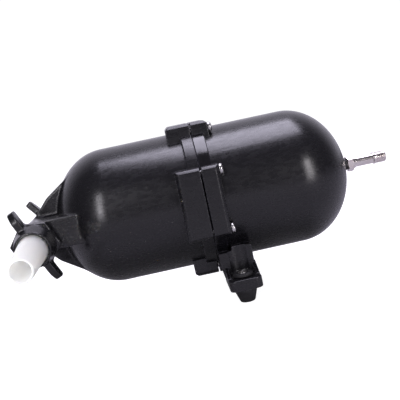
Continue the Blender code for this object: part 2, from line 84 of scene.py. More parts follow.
# Tee on the water end. The web and slab join it to the dome
PORT_X = 111.2
PORT_DROOP = math.radians(5)
TEE_HALF = 38.4
TEE_R = 10
TEE_BORE_R = 5
TEE_EDGE = 0.8
SLAB_ROOT = 76
SLAB_EDGE = 0.6
WEB_HALF = 14
WEB_EDGE = 0.9
SLAB_FILLET = 1.2           # fillets: slab to tee, web to both, and all of them to the dome
WEB_FILLET = 2.2
DOME_FILLET = 1.1
SHELL_GRID = 0.75           # spacing of the points its distances are worked out at
SPIGOT_R = 10.35
SPIGOT_START = 37.2
SPIGOT_END = 49
SOCKET_R = 8.2
SOCKET_START = 42.8
THREAD_PITCH = 1.814
THREAD_DEPTH = 0.55

# Hose tail and its O-ring, with heights out along the port
BARB_TIP = 100
BARBS = 3
BARB_SPACING = 9
BARB_LENGTH = 8             # from the tip to the first barb's foot
BARB_R = 8.1                # the first barb's; each next one is larger by BARB_GROWTH
BARB_GROWTH = 0.32
BARB_STEP = 0.42
BARB_ROOT_R = 9.3
COLLAR = (49.4, 51.2)
NOSE_R = 7.6
NOSE_END = 43.4
GROOVE_R = 6.2
GROOVE = (45.2, 47.6)
O_RING_R = 7.2
O_RING_WIRE_R = 0.7
O_RING_SIDES = 16

# Wing nut, on the same heights
NUT_BACK = 39.6
NUT_FRONT = 56
NUT_SHOULDER = 51.5
NUT_RIM_R = 16
NUT_HEX_FRONT = 43.6
NUT_HEX_EDGE = 0.5
NUT_CONE_R = 13.4
NUT_CONE_FILLET = 0.6
NUT_FRONT_R = 11.6
NUT_THREAD_R = 10.8
NUT_RIDGE = 0.3             # how far its thread stands into the bore
NUT_HOLE_R = 9.7
NUT_GRID = 0.42
WING_TIP_R = 25.6
WING_HALF = 2.4
WING_BACK = 40
WING_TOP = 49.8
WING_EDGE = 0.8
WING_FILLET = 1.4
FRONT_WING_ANGLE = math.radians(113.5)
REAR_WING_ANGLE = math.radians(-128)

# Flange screws
SCREW_SIDE = 19.1
SCREW_REACH = 45.6
SCREW_R = 2.0
SCREW_PITCH = 0.8
SCREW_THREAD_DEPTH = 0.3
SCREW_HEAD_R = 3.55
SCREW_HEAD = 2.6
SCREW_DEPTH = 12
RECESS = (1.9, 0.36, 1.5)   # one arm of the cross: half length, half width and depth
RECESS_TWIST = 0.4          # radians that each screw's cross is turned on from the last one's

# Bladder, with heights from the part line
BLADDER = 1.6               # its thickness
BLADDER_CLEARANCE = 0.7
FOLDS = (44, 24)
FOLD_DEPTH = 0.5
BEAD_INNER_R = 42
BEAD_OUTER_R = 45.8
BEAD_HALF = 1.4

# Air valve, with heights from the part line
VALVE_TIP = 130.3
VALVE_INNER_END = 88.3
BOSS_R = 8                  # inside the dome, round the valve
BOSS_START = 90
HEX = (102.75, 107)
HEX_ACROSS = 10
HEX_CHAMFER_R = 4.75
SHANK_R = 3
STEM_R = 3.45
MOUTH_R = 3.55
MOUTH_START = 122.9
MOUTH_THREAD_R = 3.85
MOUTH_THREAD_DEPTH = 0.4
VALVE_COLLAR_R = 4.15
VALVE_BORE_R = 2.65
VALVE_THREAD = 0.72
SEAL_R = 4.2
SEAL = (100.6, 102.45)
CORE = (115.7, 129.4)
CORE_BORE_R = 0.95
PIN = (110.6, 129.9)
PIN_R = 0.6
PIN_SEAL = (114.2, 115.4)
PIN_SEAL_R = 2
SPRING_R = 1.2
SPRING_WIRE_R = 0.2
SPRING_TURNS = 5

# Foot brackets, rubber feet and bushes, with heights from the tank's axis
FOOT_X = 12.7
FOOT_Y = 50
LEG_Y = (28, 40)
LEG_OUTLINE = (
    (2.3, -53.5), (22.6, -53.5), (22.6, -32.5, 1.2), (9.8, -32.5, 1), (9.8, -35.2, 0.6), (0.7, -35.2, 1),
    (0.7, -44.5, 3),
)
LEG_EDGE = 0.6
PLATE_X = (2.5, 23.5)
PLATE_Y = (27.6, 61)
PLATE_Z = (-57, -50)
PLATE_CORNER = 4.5          # radius of its two outer corners
GUSSET = 2.4
GUSSET_TOP = -44
GUSSET_REACH = 52
PLATE_EDGE = 0.7
GUSSET_EDGE = 0.35
SCALLOP_R = 8.4
SCALLOP_Y = 45.5
SCALLOP_TOP = -31.5
GROMMET_HOLE_R = 4.5
RUBBER_TOP = -47.5
RUBBER_TOP_R = 6.5
RUBBER_BORE_R = 2.4         # under the bush
BUMPER_TOP_R = 7.2
BUMPER_BOTTOM_R = 4.7
BUSH_R = 3
BUSH_BORE_R = 2.2
BUSH = (-57, -47.2)

QUARTERS = [Matrix.Rotation(quarter * math.pi / 2, 4, "Z") for quarter in range(4)]


def turn(axis, angle):
    return Matrix.Rotation(angle, 4, axis)


def shift(x=0, y=0, z=0):
    return Matrix.Translation((x, y, z))


TANK = shift(PART_LINE, 0, AXIS_HEIGHT) @ Matrix.Scale(MM, 4)
WATER_AXIS = TANK @ turn("Y", -math.pi / 2)
GAS_AXIS = TANK @ turn("Y", math.pi / 2)
FRONT_PORT = TANK @ shift(-PORT_X) @ turn("X", math.pi / 2 + PORT_DROOP)
REAR_PORT = TANK @ shift(-PORT_X) @ turn("X", -math.pi / 2 - PORT_DROOP)
UPRIGHT = TANK @ turn("X", math.pi / 2)         # local X, Y and Z are the tank's X, Z and -Y
ACROSS = TANK @ turn("Z", math.pi / 2) @ turn("X", math.pi / 2)     # the tank's Y, Z and X


# ---------------------------------------------------------------- outlines

NEARLY_STRAIGHT = 1.55      # half angle of a corner, in radians, past which it's left as it is
CORNER_SHARE = 0.48         # how much of a side one corner's arc can take up


def rounded(points, radius=0.0, closed=False, steps=5):
    """The outline with every corner made an arc, of this radius or the corner's own third number."""
    smooth = []
    last = len(points) - 1
    for i, point in enumerate(points):
        corner = Vector(point[:2])
        reach = point[2] if len(point) > 2 else radius
        before = Vector(points[i - 1][:2]) - corner
        after = Vector(points[(i + 1) % len(points)][:2]) - corner
        half = before.angle(after) / 2
        if reach == 0 or (not closed and i in (0, last)) or half > NEARLY_STRAIGHT:
            smooth.append(tuple(corner))
            continue
        back = min(reach / math.tan(half), CORNER_SHARE * min(before.length, after.length))
        before.normalize()
        after.normalize()
        centre = corner + (before + after).normalized() * back / math.cos(half)
        start = corner + before * back - centre
        end = corner + after * back - centre
        sweep = math.pi - 2 * half
        for step in range(steps + 1):
            part = step / steps
            along = start * math.sin((1 - part) * sweep) + end * math.sin(part * sweep)
            smooth.append(tuple(centre + along / math.sin(sweep)))
    return smooth


def dome(radius, depth, steps=26):
    """Quarter ellipse from the dome's tip to the start of the straight wall."""
    angles = [math.pi / 2 * i / steps for i in range(steps + 1)]
    return [(radius * math.sin(angle), STRAIGHT + depth * math.cos(angle)) for angle in angles]


# ---------------------------------------------------------------- meshes

ROWS_PER_TURN = 9           # rings of points in one turn of a thread
CREST = 1.25                # over 1 flattens a thread's crests
EDGE_SEGMENTS = 3           # across a rounded edge


def add_mesh(name, solid, place):
    """A new object from a bmesh, with its faces turned outward, placed in metres."""
    bmesh.ops.recalc_face_normals(solid, faces=solid.faces)
    mesh = bpy.data.meshes.new(name)
    solid.to_mesh(mesh)
    solid.free()
    mesh.transform(place)
    thing = bpy.data.objects.new(name, mesh)
    bpy.context.scene.collection.objects.link(thing)
    return thing


def turned(name, outline, place, steps=TURN_STEPS, closed=False):
    """Turn an outline, listed down its outer side, about the place's Z."""
    count = len(outline)
    solid = bmesh.new()
    rings = []
    for radius, height in (point[:2] for point in outline):
        if radius < TINY:
            rings.append([solid.verts.new((0, 0, height))] * steps)
            continue
        angles = [2 * math.pi * i / steps for i in range(steps)]
        ring = [(radius * math.cos(angle), radius * math.sin(angle), height) for angle in angles]
        rings.append([solid.verts.new(corner) for corner in ring])
    for i in range(count if closed else count - 1):
        upper, lower = rings[i], rings[(i + 1) % count]
        for j in range(steps):
            corners = (upper[j], upper[(j + 1) % steps], lower[(j + 1) % steps], lower[j])
            solid.faces.new(list(dict.fromkeys(corners)))
    return add_mesh(name, solid, place)


def threaded(name, radius, depth, pitch, low, high, place, steps=72):
    """A closed screw thread whose ends fade to the root, with flattened crests."""
    rows = int((high - low) / pitch * ROWS_PER_TURN)
    solid = bmesh.new()
    rings = []
    for row in range(rows + 1):
        height = low + (high - low) * row / rows
        fade = min(1, (high - height) / pitch, (height - low) / pitch)
        ring = []
        for i in range(steps):
            angle = 2 * math.pi * i / steps
            wave = 0.5 + 0.5 * math.cos(2 * math.pi * height / pitch - angle)
            reach = radius - depth + depth * fade * min(1, CREST * wave)
            ring.append(solid.verts.new((reach * math.cos(angle), reach * math.sin(angle), height)))
        rings.append(ring)
    for lower, upper in zip(rings, rings[1:]):
        for i in range(steps):
            solid.faces.new((lower[i], lower[(i + 1) % steps], upper[(i + 1) % steps], upper[i]))
    solid.faces.new(rings[0])
    solid.faces.new(rings[-1])
    return add_mesh(name, solid, place)


def extruded(name, outline, low, high, place, edge=0.0):
    """A flat outline in local XY with thickness along Z, its two faces' edges rounded."""
    solid = bmesh.new()
    face = solid.faces.new([solid.verts.new((point[0], point[1], low)) for point in outline])
    grown = bmesh.ops.extrude_face_region(solid, geom=[face])["geom"]
    raised = [part for part in grown if isinstance(part, bmesh.types.BMVert)]
    bmesh.ops.translate(solid, vec=(0, 0, high - low), verts=raised)
    if edge:
        rims = [e for e in solid.edges if abs(e.verts[0].co.z - e.verts[1].co.z) < TINY]
        bmesh.ops.bevel(solid, geom=rims, offset=edge, segments=EDGE_SEGMENTS, profile=0.5, affect="EDGES")
    return add_mesh(name, solid, place)


def block(name, low, high, place, edge, chamfer=0.0, chamfered=None):
    """A box with rounded edges, after a flat chamfer on the edges that chamfered(edge) picks."""
    low, high = Vector(low), Vector(high)
    solid = bmesh.new()
    stretched = shift(*(low + high) / 2) @ Matrix.Diagonal((*(high - low), 1))
    bmesh.ops.create_cube(solid, size=1, matrix=stretched)
    if chamfered:
        picked = [e for e in solid.edges if chamfered(e)]
        bmesh.ops.bevel(solid, geom=picked, offset=chamfer, segments=1, affect="EDGES")
    edges = solid.edges[:]
    bmesh.ops.bevel(solid, geom=edges, offset=edge, segments=EDGE_SEGMENTS, profile=0.5, affect="EDGES")
    return add_mesh(name, solid, place)


def cylinder(name, radius, low, high, place, steps=48):
    return turned(name, [(0, high), (radius, high), (radius, low), (0, low)], place, steps)


def combine(target, operation, tools):
    """Add, cut or intersect with the tools, which are used up."""
    for tool in tools:
        boolean = target.modifiers.new("combine", "BOOLEAN")
        boolean.operation = operation
        boolean.solver = "MANIFOLD"
        boolean.object = tool
    bpy.context.view_layer.update()
    evaluated = target.evaluated_get(bpy.context.evaluated_depsgraph_get())
    mesh = bpy.data.meshes.new_from_object(evaluated)
    target.modifiers.clear()
    target.data = mesh
    for tool in tools:
        bpy.data.objects.remove(tool, do_unlink=True)
    return target


def join(target, *tools):
    return combine(target, "UNION", tools)


def cut(target, *tools):
    return combine(target, "DIFFERENCE", tools)


# ---------------------------------------------------------------- blended shapes, from distances

PROBE = 0.05                # how far to each side a distance's slope is measured
SETTLE_ROUNDS = 4
LEAST_SLOPE = 0.25          # squared; a flatter spot would throw its point too far


def polygon_distance(u, v, outline):
    """Signed distance from points (u, v) to a closed outline, negative inside it."""
    nearest = np.full(u.shape, 1e6, u.dtype)
    inside = np.zeros(u.shape, bool)
    for i, (bu, bv) in enumerate(outline):
        au, av = outline[i - 1]
        eu, ev = bu - au, bv - av
        along = np.clip(((u - au) * eu + (v - av) * ev) / (eu * eu + ev * ev), 0, 1)
        nearest = np.minimum(nearest, (u - au - along * eu) ** 2 + (v - av - along * ev) ** 2)
        if ev:
            inside ^= ((av > v) != (bv > v)) & (u < au + eu * (v - av) / ev)
    return np.where(inside, -1, 1) * np.sqrt(nearest)


def crossed(edge, *spans):
    """Distance to the space inside every span, with the edges between them rounded."""
    spans = [span + edge for span in spans]
    outside = np.sqrt(sum(np.maximum(span, 0) ** 2 for span in spans))
    return outside + np.minimum(np.maximum.reduce(spans), 0) - edge


def merged(a, b, reach):
    """Both shapes together, with a fillet where they meet."""
    overlap = np.maximum(reach - np.abs(a - b), 0) / reach
    return np.minimum(a, b) - overlap * overlap * reach / 4


def blended(name, distance, low, high, step, place):
    """Mesh a distance function's surface inside a box, and settle its points closely on it."""
    spans = [np.arange(a, b + step, step) for a, b in zip(low, high)]
    volume = openvdb.FloatGrid()
    volume.copyFromArray(distance(*np.meshgrid(*spans, indexing="ij")).astype(np.float32))
    points, _, quads = volume.convertToPolygons(0)
    points = points.astype(float) * step + np.array(low)
    for _ in range(SETTLE_ROUNDS):
        off = distance(*points.T)
        slopes = [distance(*(points + PROBE * way).T) - distance(*(points - PROBE * way).T)
                  for way in np.eye(3)]
        slope = np.array(slopes).T / (2 * PROBE)
        points -= slope * (off / np.maximum((slope ** 2).sum(1), LEAST_SLOPE))[:, None]
    mesh = bpy.data.meshes.new(name)
    mesh.from_pydata(points.tolist(), [], quads.tolist())
    solid = bmesh.new()
    solid.from_mesh(mesh)
    bpy.data.meshes.remove(mesh)
    return add_mesh(name, solid, place)


# ---------------------------------------------------------------- materials

WORN_AND_HIGHLIT_EDGE_WIDTH = 0.0007         # of the edge band painted lighter, partly as rubbed wear and partly as a painted highlight, in metres
WORN_AND_HIGHLIT_EDGE_BRIGHTNESS = 9         # of that edge band, against the plastic's drift colour: rubbed wear plus a painted highlight


def new_material(name, roughness, metallic=0.0, **values):
    """A material with its Principled BSDF's values set, as (material, node tree, shader)."""
    material = bpy.data.materials.new(name)
    material.use_nodes = True
    tree = material.node_tree
    shader = tree.nodes["Principled BSDF"]
    shader.inputs["Roughness"].default_value = roughness
    shader.inputs["Metallic"].default_value = metallic
    for key, value in values.items():
        shader.inputs[key.replace("_", " ")].default_value = value
    return material, tree, shader


def noise(tree, scale, detail, stretch=(1, 1, 1)):
    """Noise over the piece's own coordinates, stretched along the tank's axes."""
    coordinates = tree.nodes.new("ShaderNodeTexCoord")
    mapping = tree.nodes.new("ShaderNodeMapping")
    mapping.inputs["Scale"].default_value = stretch
    texture = tree.nodes.new("ShaderNodeTexNoise")
    texture.inputs["Scale"].default_value = scale
    texture.inputs["Detail"].default_value = detail
    tree.links.new(coordinates.outputs["Object"], mapping.inputs["Vector"])
    tree.links.new(mapping.outputs["Vector"], texture.inputs["Vector"])
    return texture.outputs["Fac"]


def spread(tree, value, low, high, start=0.3, end=0.7):
    """The value's middle range stretched to run from low to high."""
    ramp = tree.nodes.new("ShaderNodeMapRange")
    for key, number in (("From Min", start), ("From Max", end), ("To Min", low), ("To Max", high)):
        ramp.inputs[key].default_value = number
    tree.links.new(value, ramp.inputs["Value"])
    return ramp.outputs["Result"]


def mixed(tree, factor, first, second):
    """A colour between two others; each is a colour or another node's output."""
    mix = tree.nodes.new("ShaderNodeMix")
    mix.data_type = "RGBA"
    tree.links.new(factor, mix.inputs["Factor"])
    colour_inputs = mix.inputs[6:8]
    for socket, colour in zip(colour_inputs, (first, second)):
        if isinstance(colour, tuple):
            socket.default_value = (*colour, 1)
        else:
            tree.links.new(colour, socket)
    return mix.outputs[2]


def bumped(tree, shader, height, depth, strength=0.5):
    """Relief of this depth, in metres."""
    bump = tree.nodes.new("ShaderNodeBump")
    bump.inputs["Distance"].default_value = depth
    bump.inputs["Strength"].default_value = strength
    tree.links.new(height, bump.inputs["Height"])
    tree.links.new(bump.outputs["Normal"], shader.inputs["Normal"])


def worn_and_highlit_edges(tree):
    """1 along convex and concave edges, 0 on open faces: where the lighter edge band goes, partly rubbed
    wear and partly a painted highlight.
    """
    bevel = tree.nodes.new("ShaderNodeBevel")
    bevel.samples = 4
    bevel.inputs["Radius"].default_value = WORN_AND_HIGHLIT_EDGE_WIDTH
    geometry = tree.nodes.new("ShaderNodeNewGeometry")
    dot = tree.nodes.new("ShaderNodeVectorMath")
    dot.operation = "DOT_PRODUCT"
    tree.links.new(bevel.outputs["Normal"], dot.inputs[0])
    tree.links.new(geometry.outputs["Normal"], dot.inputs[1])
    return spread(tree, dot.outputs["Value"], 1, 0, 0.86, 0.995)


def moulded_plastic(name, colour, drift_colour, roughness, grain):
    """Injection-moulded black plastic: fine spark grain, slow drift in colour and gloss, and edges painted
    lighter, partly as rubbed wear and partly as a painted highlight.
    """
    material, tree, shader = new_material(name, roughness)
    drift = spread(tree, noise(tree, 38, 4), 0, 1)
    colours = mixed(tree, drift, colour, drift_colour)
    # Edges many times lighter than the plastic: rubbed wear plus a painted highlight along the edges
    worn_and_highlit_edge_colour = tuple(WORN_AND_HIGHLIT_EDGE_BRIGHTNESS * part for part in drift_colour)
    tree.links.new(mixed(tree, worn_and_highlit_edges(tree), colours, worn_and_highlit_edge_colour), shader.inputs["Base Color"])
    gloss = spread(tree, noise(tree, 420, 6, (0.4, 1, 1)), roughness - 0.05, roughness + 0.05)
    tree.links.new(gloss, shader.inputs["Roughness"])
    bumped(tree, shader, noise(tree, grain, 2), 0.00002)
    return material


def turned_metal(name, colour, tarnish, roughness, lines):
    """Plated or bright metal with fine tool lines around its axis and faint staining."""
    material, tree, shader = new_material(name, roughness, 1.0)
    stain = spread(tree, noise(tree, 320, 5), 0, 1, 0.35, 0.75)
    tree.links.new(mixed(tree, stain, colour, tarnish), shader.inputs["Base Color"])
    scratches = noise(tree, lines, 2, (1, 0.04, 0.04))
    tree.links.new(spread(tree, scratches, roughness - 0.05, roughness + 0.1), shader.inputs["Roughness"])
    bumped(tree, shader, scratches, 0.000005)
    return material


def rubber(name, colour, dusty, roughness):
    """Matt rubber with a dusty bloom and a coarse grain."""
    material, tree, shader = new_material(name, roughness)
    bloom = spread(tree, noise(tree, 220, 5), 0, 1, 0.4, 0.8)
    tree.links.new(mixed(tree, bloom, colour, dusty), shader.inputs["Base Color"])
    gloss = spread(tree, noise(tree, 500, 3), roughness - 0.08, roughness + 0.06)
    tree.links.new(gloss, shader.inputs["Roughness"])
    bumped(tree, shader, noise(tree, 3200, 2), 0.00012)
    return material


def milky_nylon():
    """Natural nylon: scatters light inside, with faint flow streaks along the tube."""
    material, tree, shader = new_material(
        "milky_nylon", 0.34, Subsurface_Weight=1.0, Subsurface_Scale=0.006,
        Subsurface_Radius=(1.0, 0.95, 0.9), Transmission_Weight=0.65, IOR=1.3,
    )
    streaks = spread(tree, noise(tree, 160, 4, (1, 0.15, 1)), 0, 1)
    colours = mixed(tree, streaks, (0.98, 0.975, 0.93), (0.94, 0.935, 0.90))
    tree.links.new(colours, shader.inputs["Base Color"])
    tree.links.new(spread(tree, noise(tree, 420, 4), 0.28, 0.42), shader.inputs["Roughness"])
    bumped(tree, shader, noise(tree, 900, 3), 0.00006, 0.4)
    return material


# The two colours of each are its own and the one it drifts to
BODY_BLACK = moulded_plastic("body_black", (0.0052, 0.0050, 0.0062), (0.0066, 0.0064, 0.0078), 0.27, 4200)
RING_BLACK = moulded_plastic("ring_black", (0.0048, 0.0046, 0.0058), (0.0060, 0.0058, 0.0072), 0.13, 5200)
NUT_BLACK = moulded_plastic("nut_black", (0.0052, 0.0052, 0.0062), (0.0066, 0.0066, 0.0078), 0.25, 5200)
NYLON = milky_nylon()
SCREW_STEEL = turned_metal("screw_steel", (0.66, 0.65, 0.64), (0.50, 0.49, 0.48), 0.22, 2600)
SPRING_STEEL = turned_metal("spring_steel", (0.46, 0.45, 0.44), (0.36, 0.35, 0.33), 0.30, 2600)
NICKEL = turned_metal("nickel_plate", (0.80, 0.75, 0.73), (0.66, 0.60, 0.57), 0.11, 3400)
BRASS = turned_metal("bare_brass", (0.72, 0.54, 0.24), (0.50, 0.34, 0.14), 0.26, 3000)
FOOT_RUBBER = rubber("foot_rubber", (0.007, 0.007, 0.008), (0.014, 0.014, 0.015), 0.60)
SEAL_RUBBER = rubber("seal_rubber", (0.014, 0.014, 0.015), (0.022, 0.022, 0.023), 0.50)


def finish_piece(piece, material, node, sharp=48):
    """Smooth shading, the material, the CAD node it stands for, which it hides, and that node's body."""
    mesh = piece.data
    mesh.materials.clear()
    mesh.materials.append(material)
    mesh.shade_smooth()
    mesh.set_sharp_from_angle(angle=math.radians(sharp))
    flat_faces = piece.modifiers.new("flat_faces", "WEIGHTED_NORMAL")
    flat_faces.keep_sharp = True
    bpy.context.view_layer.update()
    evaluated = piece.evaluated_get(bpy.context.evaluated_depsgraph_get())
    piece.data = bpy.data.meshes.new_from_object(evaluated)
    piece.modifiers.clear()
    bodies = frame["record"]["behaviour"]["bodies"]
    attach(piece, next(body for body, nodes in bodies.items() if node in nodes))
    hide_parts(node)
    return piece


# ---------------------------------------------------------------- shells

# Points are (distance from the part line, height over the axis)
WEB_TOP = [(60, 30), (76, 36.2, 14), (85, 33.5, 12), (103, 21.5, 16), (114, 9.5, 3)]
WEB_BOTTOM = [(along, -height, *radius) for along, height, *radius in reversed(WEB_TOP)]
WEB = rounded(WEB_TOP + WEB_BOTTOM, closed=True, steps=4)


def water_distance(x, y, z):
    """Dome, wall, web, slab and tee of the water half in the tank's frame."""
    along = -x
    past = np.maximum(along - STRAIGHT, 0)
    radius = np.hypot(y, z)
    depth = DOME_END - STRAIGHT
    near = np.hypot(radius / BODY_R, past / depth)
    slope = np.hypot(radius / BODY_R ** 2, past / depth ** 2)
    body = np.maximum(near * (near - 1) / np.maximum(slope, 1e-4), 1 - along)
    web = crossed(WEB_EDGE, polygon_distance(along, z, WEB), np.abs(y) - WEB_HALF)
    middle = (PORT_X + SLAB_ROOT) / 2
    half = (PORT_X - SLAB_ROOT) / 2
    ends = np.abs(y) - TEE_HALF
    slab = crossed(SLAB_EDGE, np.abs(along - middle) - half, ends, np.abs(z) - TEE_R + GAP)
    tube = crossed(TEE_EDGE, np.hypot(along - PORT_X, z) - TEE_R, ends)
    tee = merged(merged(slab, tube, SLAB_FILLET), web, WEB_FILLET)
    return merged(body, tee, DOME_FILLET)


def flange(name, axis, ring, lug):
    """Solid flange disc with its four bolt lugs, each chamfered round its outer face."""
    outline = [(0, ring), (RING_R, ring, 0.8), (RING_R, GAP / 2, 0.3), (0, GAP / 2)]
    disc = turned(name, rounded(outline), axis)

    def outer_rim(edge):
        ends = [v.co for v in edge.verts]
        return all(co.x > LUG_REACH - 0.1 for co in ends) and any(co.z > lug - 0.1 for co in ends)

    lugs = []
    for quarter in QUARTERS:
        low, high = (LUG_ROOT, -LUG_HALF, 1.3 * GAP), (LUG_REACH, LUG_HALF, lug)
        lugs.append(block(name + "_lug", low, high, axis @ quarter, LUG_EDGE, LUG_CHAMFER, outer_rim))
    return join(disc, *lugs)


def cavity(axis):
    """The room inside a shell, and past the part line, with the seat that takes the bladder's bead."""
    outline = dome(BODY_R - WALL, DOME_END - WALL - STRAIGHT)
    outline += [(BODY_R - WALL, SEAT_DEPTH), (SEAT_R, SEAT_DEPTH), (SEAT_R, -WALL), (0, -WALL)]
    return turned("cavity", outline, axis)


def screw_places(axis):
    """The frames of the eight flange screws, on one half's axis."""
    sides = (-SCREW_SIDE, SCREW_SIDE)
    return [axis @ quarter @ shift(SCREW_REACH, side) for quarter in QUARTERS for side in sides]


def screw_holes(axis, low, high):
    """Cutters for the eight screw holes between two heights."""
    return [cylinder("hole", SCREW_R + GAP, low, high, place, 24) for place in screw_places(axis)]


def build_water_shell():
    """Blended shell with its flange and spigots, cut out by the cavity, the ports and the screw holes."""
    reach = BODY_R + 0.9
    low, high = (-122, -reach, -reach), (0, reach, reach)
    shell = blended("water_half_shell", water_distance, low, high, SHELL_GRID, TANK)
    join(shell, flange("water_flange", WATER_AXIS, WATER_RING, WATER_LUG))
    for port in (FRONT_PORT, REAR_PORT):
        thread = threaded("spigot", SPIGOT_R, THREAD_DEPTH, THREAD_PITCH, SPIGOT_START, SPIGOT_END, port)
        join(shell, thread)
    cut(shell, cavity(WATER_AXIS), cylinder("passage", TEE_BORE_R, STRAIGHT, PORT_X, WATER_AXIS))
    for port in (FRONT_PORT, REAR_PORT):
        bore = [(0, SPIGOT_END + 2), (SOCKET_R + 0.5, SPIGOT_END + 2), (SOCKET_R + 0.5, SPIGOT_END),
                (SOCKET_R, SPIGOT_END - 0.5), (SOCKET_R, SOCKET_START), (TEE_BORE_R, SOCKET_START),
                (TEE_BORE_R, -TEE_BORE_R / 2), (0, -TEE_BORE_R / 2)]
        cut(shell, turned("bore", bore, port, 48))
    cut(shell, *screw_holes(WATER_AXIS, -WALL, SCREW_DEPTH + 2))
    finish_piece(shell, BODY_BLACK, "water_shell")


def polish_ring(shell):
    """The gas half's ring shows the mould's polish: its faces take the glossier black."""
    shell.data.materials.append(RING_BLACK)
    for face in shell.data.polygons:
        x, y, z = (face.center - MIDDLE) / MM
        if abs(x) < GAS_RING + 0.1 and BODY_R + 0.05 < math.hypot(y, z) < RING_R + 0.1:
            face.material_index = 1


def foot_bracket(side):
    """Leg, plate and two gussets on one side of the tank, as separate closed shapes."""
    leg_low, leg_high = sorted(-side * y for y in LEG_Y)
    leg = extruded("leg", rounded(LEG_OUTLINE, 0.5, closed=True), leg_low, leg_high, UPRIGHT, LEG_EDGE)
    plate_low, plate_high = sorted(side * y for y in PLATE_Y)
    low_radius, high_radius = (1, PLATE_CORNER) if side > 0 else (PLATE_CORNER, 1)
    corners = [(PLATE_X[0], plate_low, low_radius), (PLATE_X[1], plate_low, low_radius),
               (PLATE_X[1], plate_high, high_radius), (PLATE_X[0], plate_high, high_radius)]
    plate = extruded("plate", rounded(corners, closed=True), *PLATE_Z, TANK, PLATE_EDGE)
    root, reach = side * (LEG_Y[1] - GUSSET), side * GUSSET_REACH
    bottom, top = PLATE_Z[1] - GUSSET, PLATE_Z[1] + 0.4
    rib = rounded([(root, bottom), (reach, bottom), (reach, top, 0.5), (root, GUSSET_TOP)], closed=True)
    pieces = [leg, plate]
    for x in (PLATE_X[0] + 0.2, PLATE_X[1] - GUSSET - 0.2):
        pieces.append(extruded("gusset", rib, x, x + GUSSET, ACROSS, GUSSET_EDGE))
    return pieces


def build_gas_shell():
    """Turned shell with its flange and foot brackets, cut out for the cavity, screws, feet and valve."""
    outline = dome(BODY_R, DOME_END - STRAIGHT) + [(BODY_R, 1), (0, 1)]
    shell = turned("gas_half_shell", outline, GAS_AXIS)
    join(shell, flange("gas_flange", GAS_AXIS, GAS_RING, GAS_LUG))
    for side in (-1, 1):
        for piece in foot_bracket(side):
            join(shell, piece)
    cut(shell, cavity(GAS_AXIS))
    cut(shell, *screw_holes(GAS_AXIS, -WALL, GAS_LUG + WALL))
    floor = PLATE_Z[1] + 0.3
    scallop = rounded([(0, SCALLOP_TOP), (SCALLOP_R, SCALLOP_TOP), (SCALLOP_R, floor, 1.2), (0, floor)])
    for side in (-1, 1):
        foot_axis = TANK @ shift(FOOT_X, side * FOOT_Y)
        cut(shell, cylinder("grommet", GROMMET_HOLE_R, PLATE_Z[0] - 7, RUBBER_TOP, foot_axis))
        cut(shell, turned("scallop", scallop, TANK @ shift(FOOT_X, side * SCALLOP_Y), 64))
    join(shell, cylinder("boss", BOSS_R, BOSS_START, DOME_END - WALL / 2, GAS_AXIS))
    cut(shell, cylinder("valve_hole", SHANK_R + GAP, VALVE_INNER_END - 2, DOME_END + WALL, GAS_AXIS))
    polish_ring(finish_piece(shell, BODY_BLACK, "gas_shell"))


def build_bladder():
    """Rubber cup that lines the water half, with two soft folds and a bead pinched at the part line."""
    outer_r = BODY_R - WALL - BLADDER_CLEARANCE
    depth = DOME_END - WALL - BLADDER_CLEARANCE - STRAIGHT
    lip = BEAD_HALF - 0.5
    outline = dome(outer_r, depth)
    for height in FOLDS:
        outline += [(outer_r, height + 5), (outer_r - FOLD_DEPTH, height + 2),
                    (outer_r - FOLD_DEPTH, height - 2), (outer_r, height - 5)]
    outline += [(outer_r, lip), (BEAD_INNER_R, lip, 0.3), (BEAD_INNER_R, BEAD_HALF, 0.3),
                (BEAD_OUTER_R, BEAD_HALF, 0.9), (BEAD_OUTER_R, -BEAD_HALF, 0.9),
                (BEAD_INNER_R, -BEAD_HALF, 0.3), (BEAD_INNER_R, -lip, 0.3), (outer_r - BLADDER, -lip)]
    outline += reversed(dome(outer_r - BLADDER, depth - BLADDER))
    finish_piece(turned("bladder_cup", rounded(outline), WATER_AXIS), SEAL_RUBBER, "bladder")


# ---------------------------------------------------------------- flange screws

def build_screw(number, place):
    """Pan head screw with a cross recess and a rolled thread."""
    seat = GAS_LUG + GAP
    top = seat + SCREW_HEAD
    neck_r = SCREW_R - 0.2
    outline = rounded([(0, top), (1.6, top, 2), (SCREW_HEAD_R, top - 0.7, 1.3), (SCREW_HEAD_R, seat, 0.25),
                       (neck_r, seat, 0.2), (neck_r, 1), (0, 1)])
    screw = turned(f"flange_screw_head_{number}", outline, place, 48)
    thread = threaded("thread", SCREW_R, SCREW_THREAD_DEPTH, SCREW_PITCH, -SCREW_DEPTH, 6, place, 32)
    join(screw, thread)
    length, width, depth = RECESS
    arms = []
    for angle in (RECESS_TWIST * number, RECESS_TWIST * number + math.pi / 2):
        low, high = (-length, -width, top - depth), (length, width, top + 1)
        arms.append(block("recess", low, high, place @ turn("Z", angle), 0.12))
    cut(screw, *arms)
    finish_piece(screw, SCREW_STEEL, f"flange_screw_{number}")


def build_flange_screws():
    for number, place in enumerate(screw_places(GAS_AXIS), 1):
        build_screw(number, place)


# ---------------------------------------------------------------- hose fittings

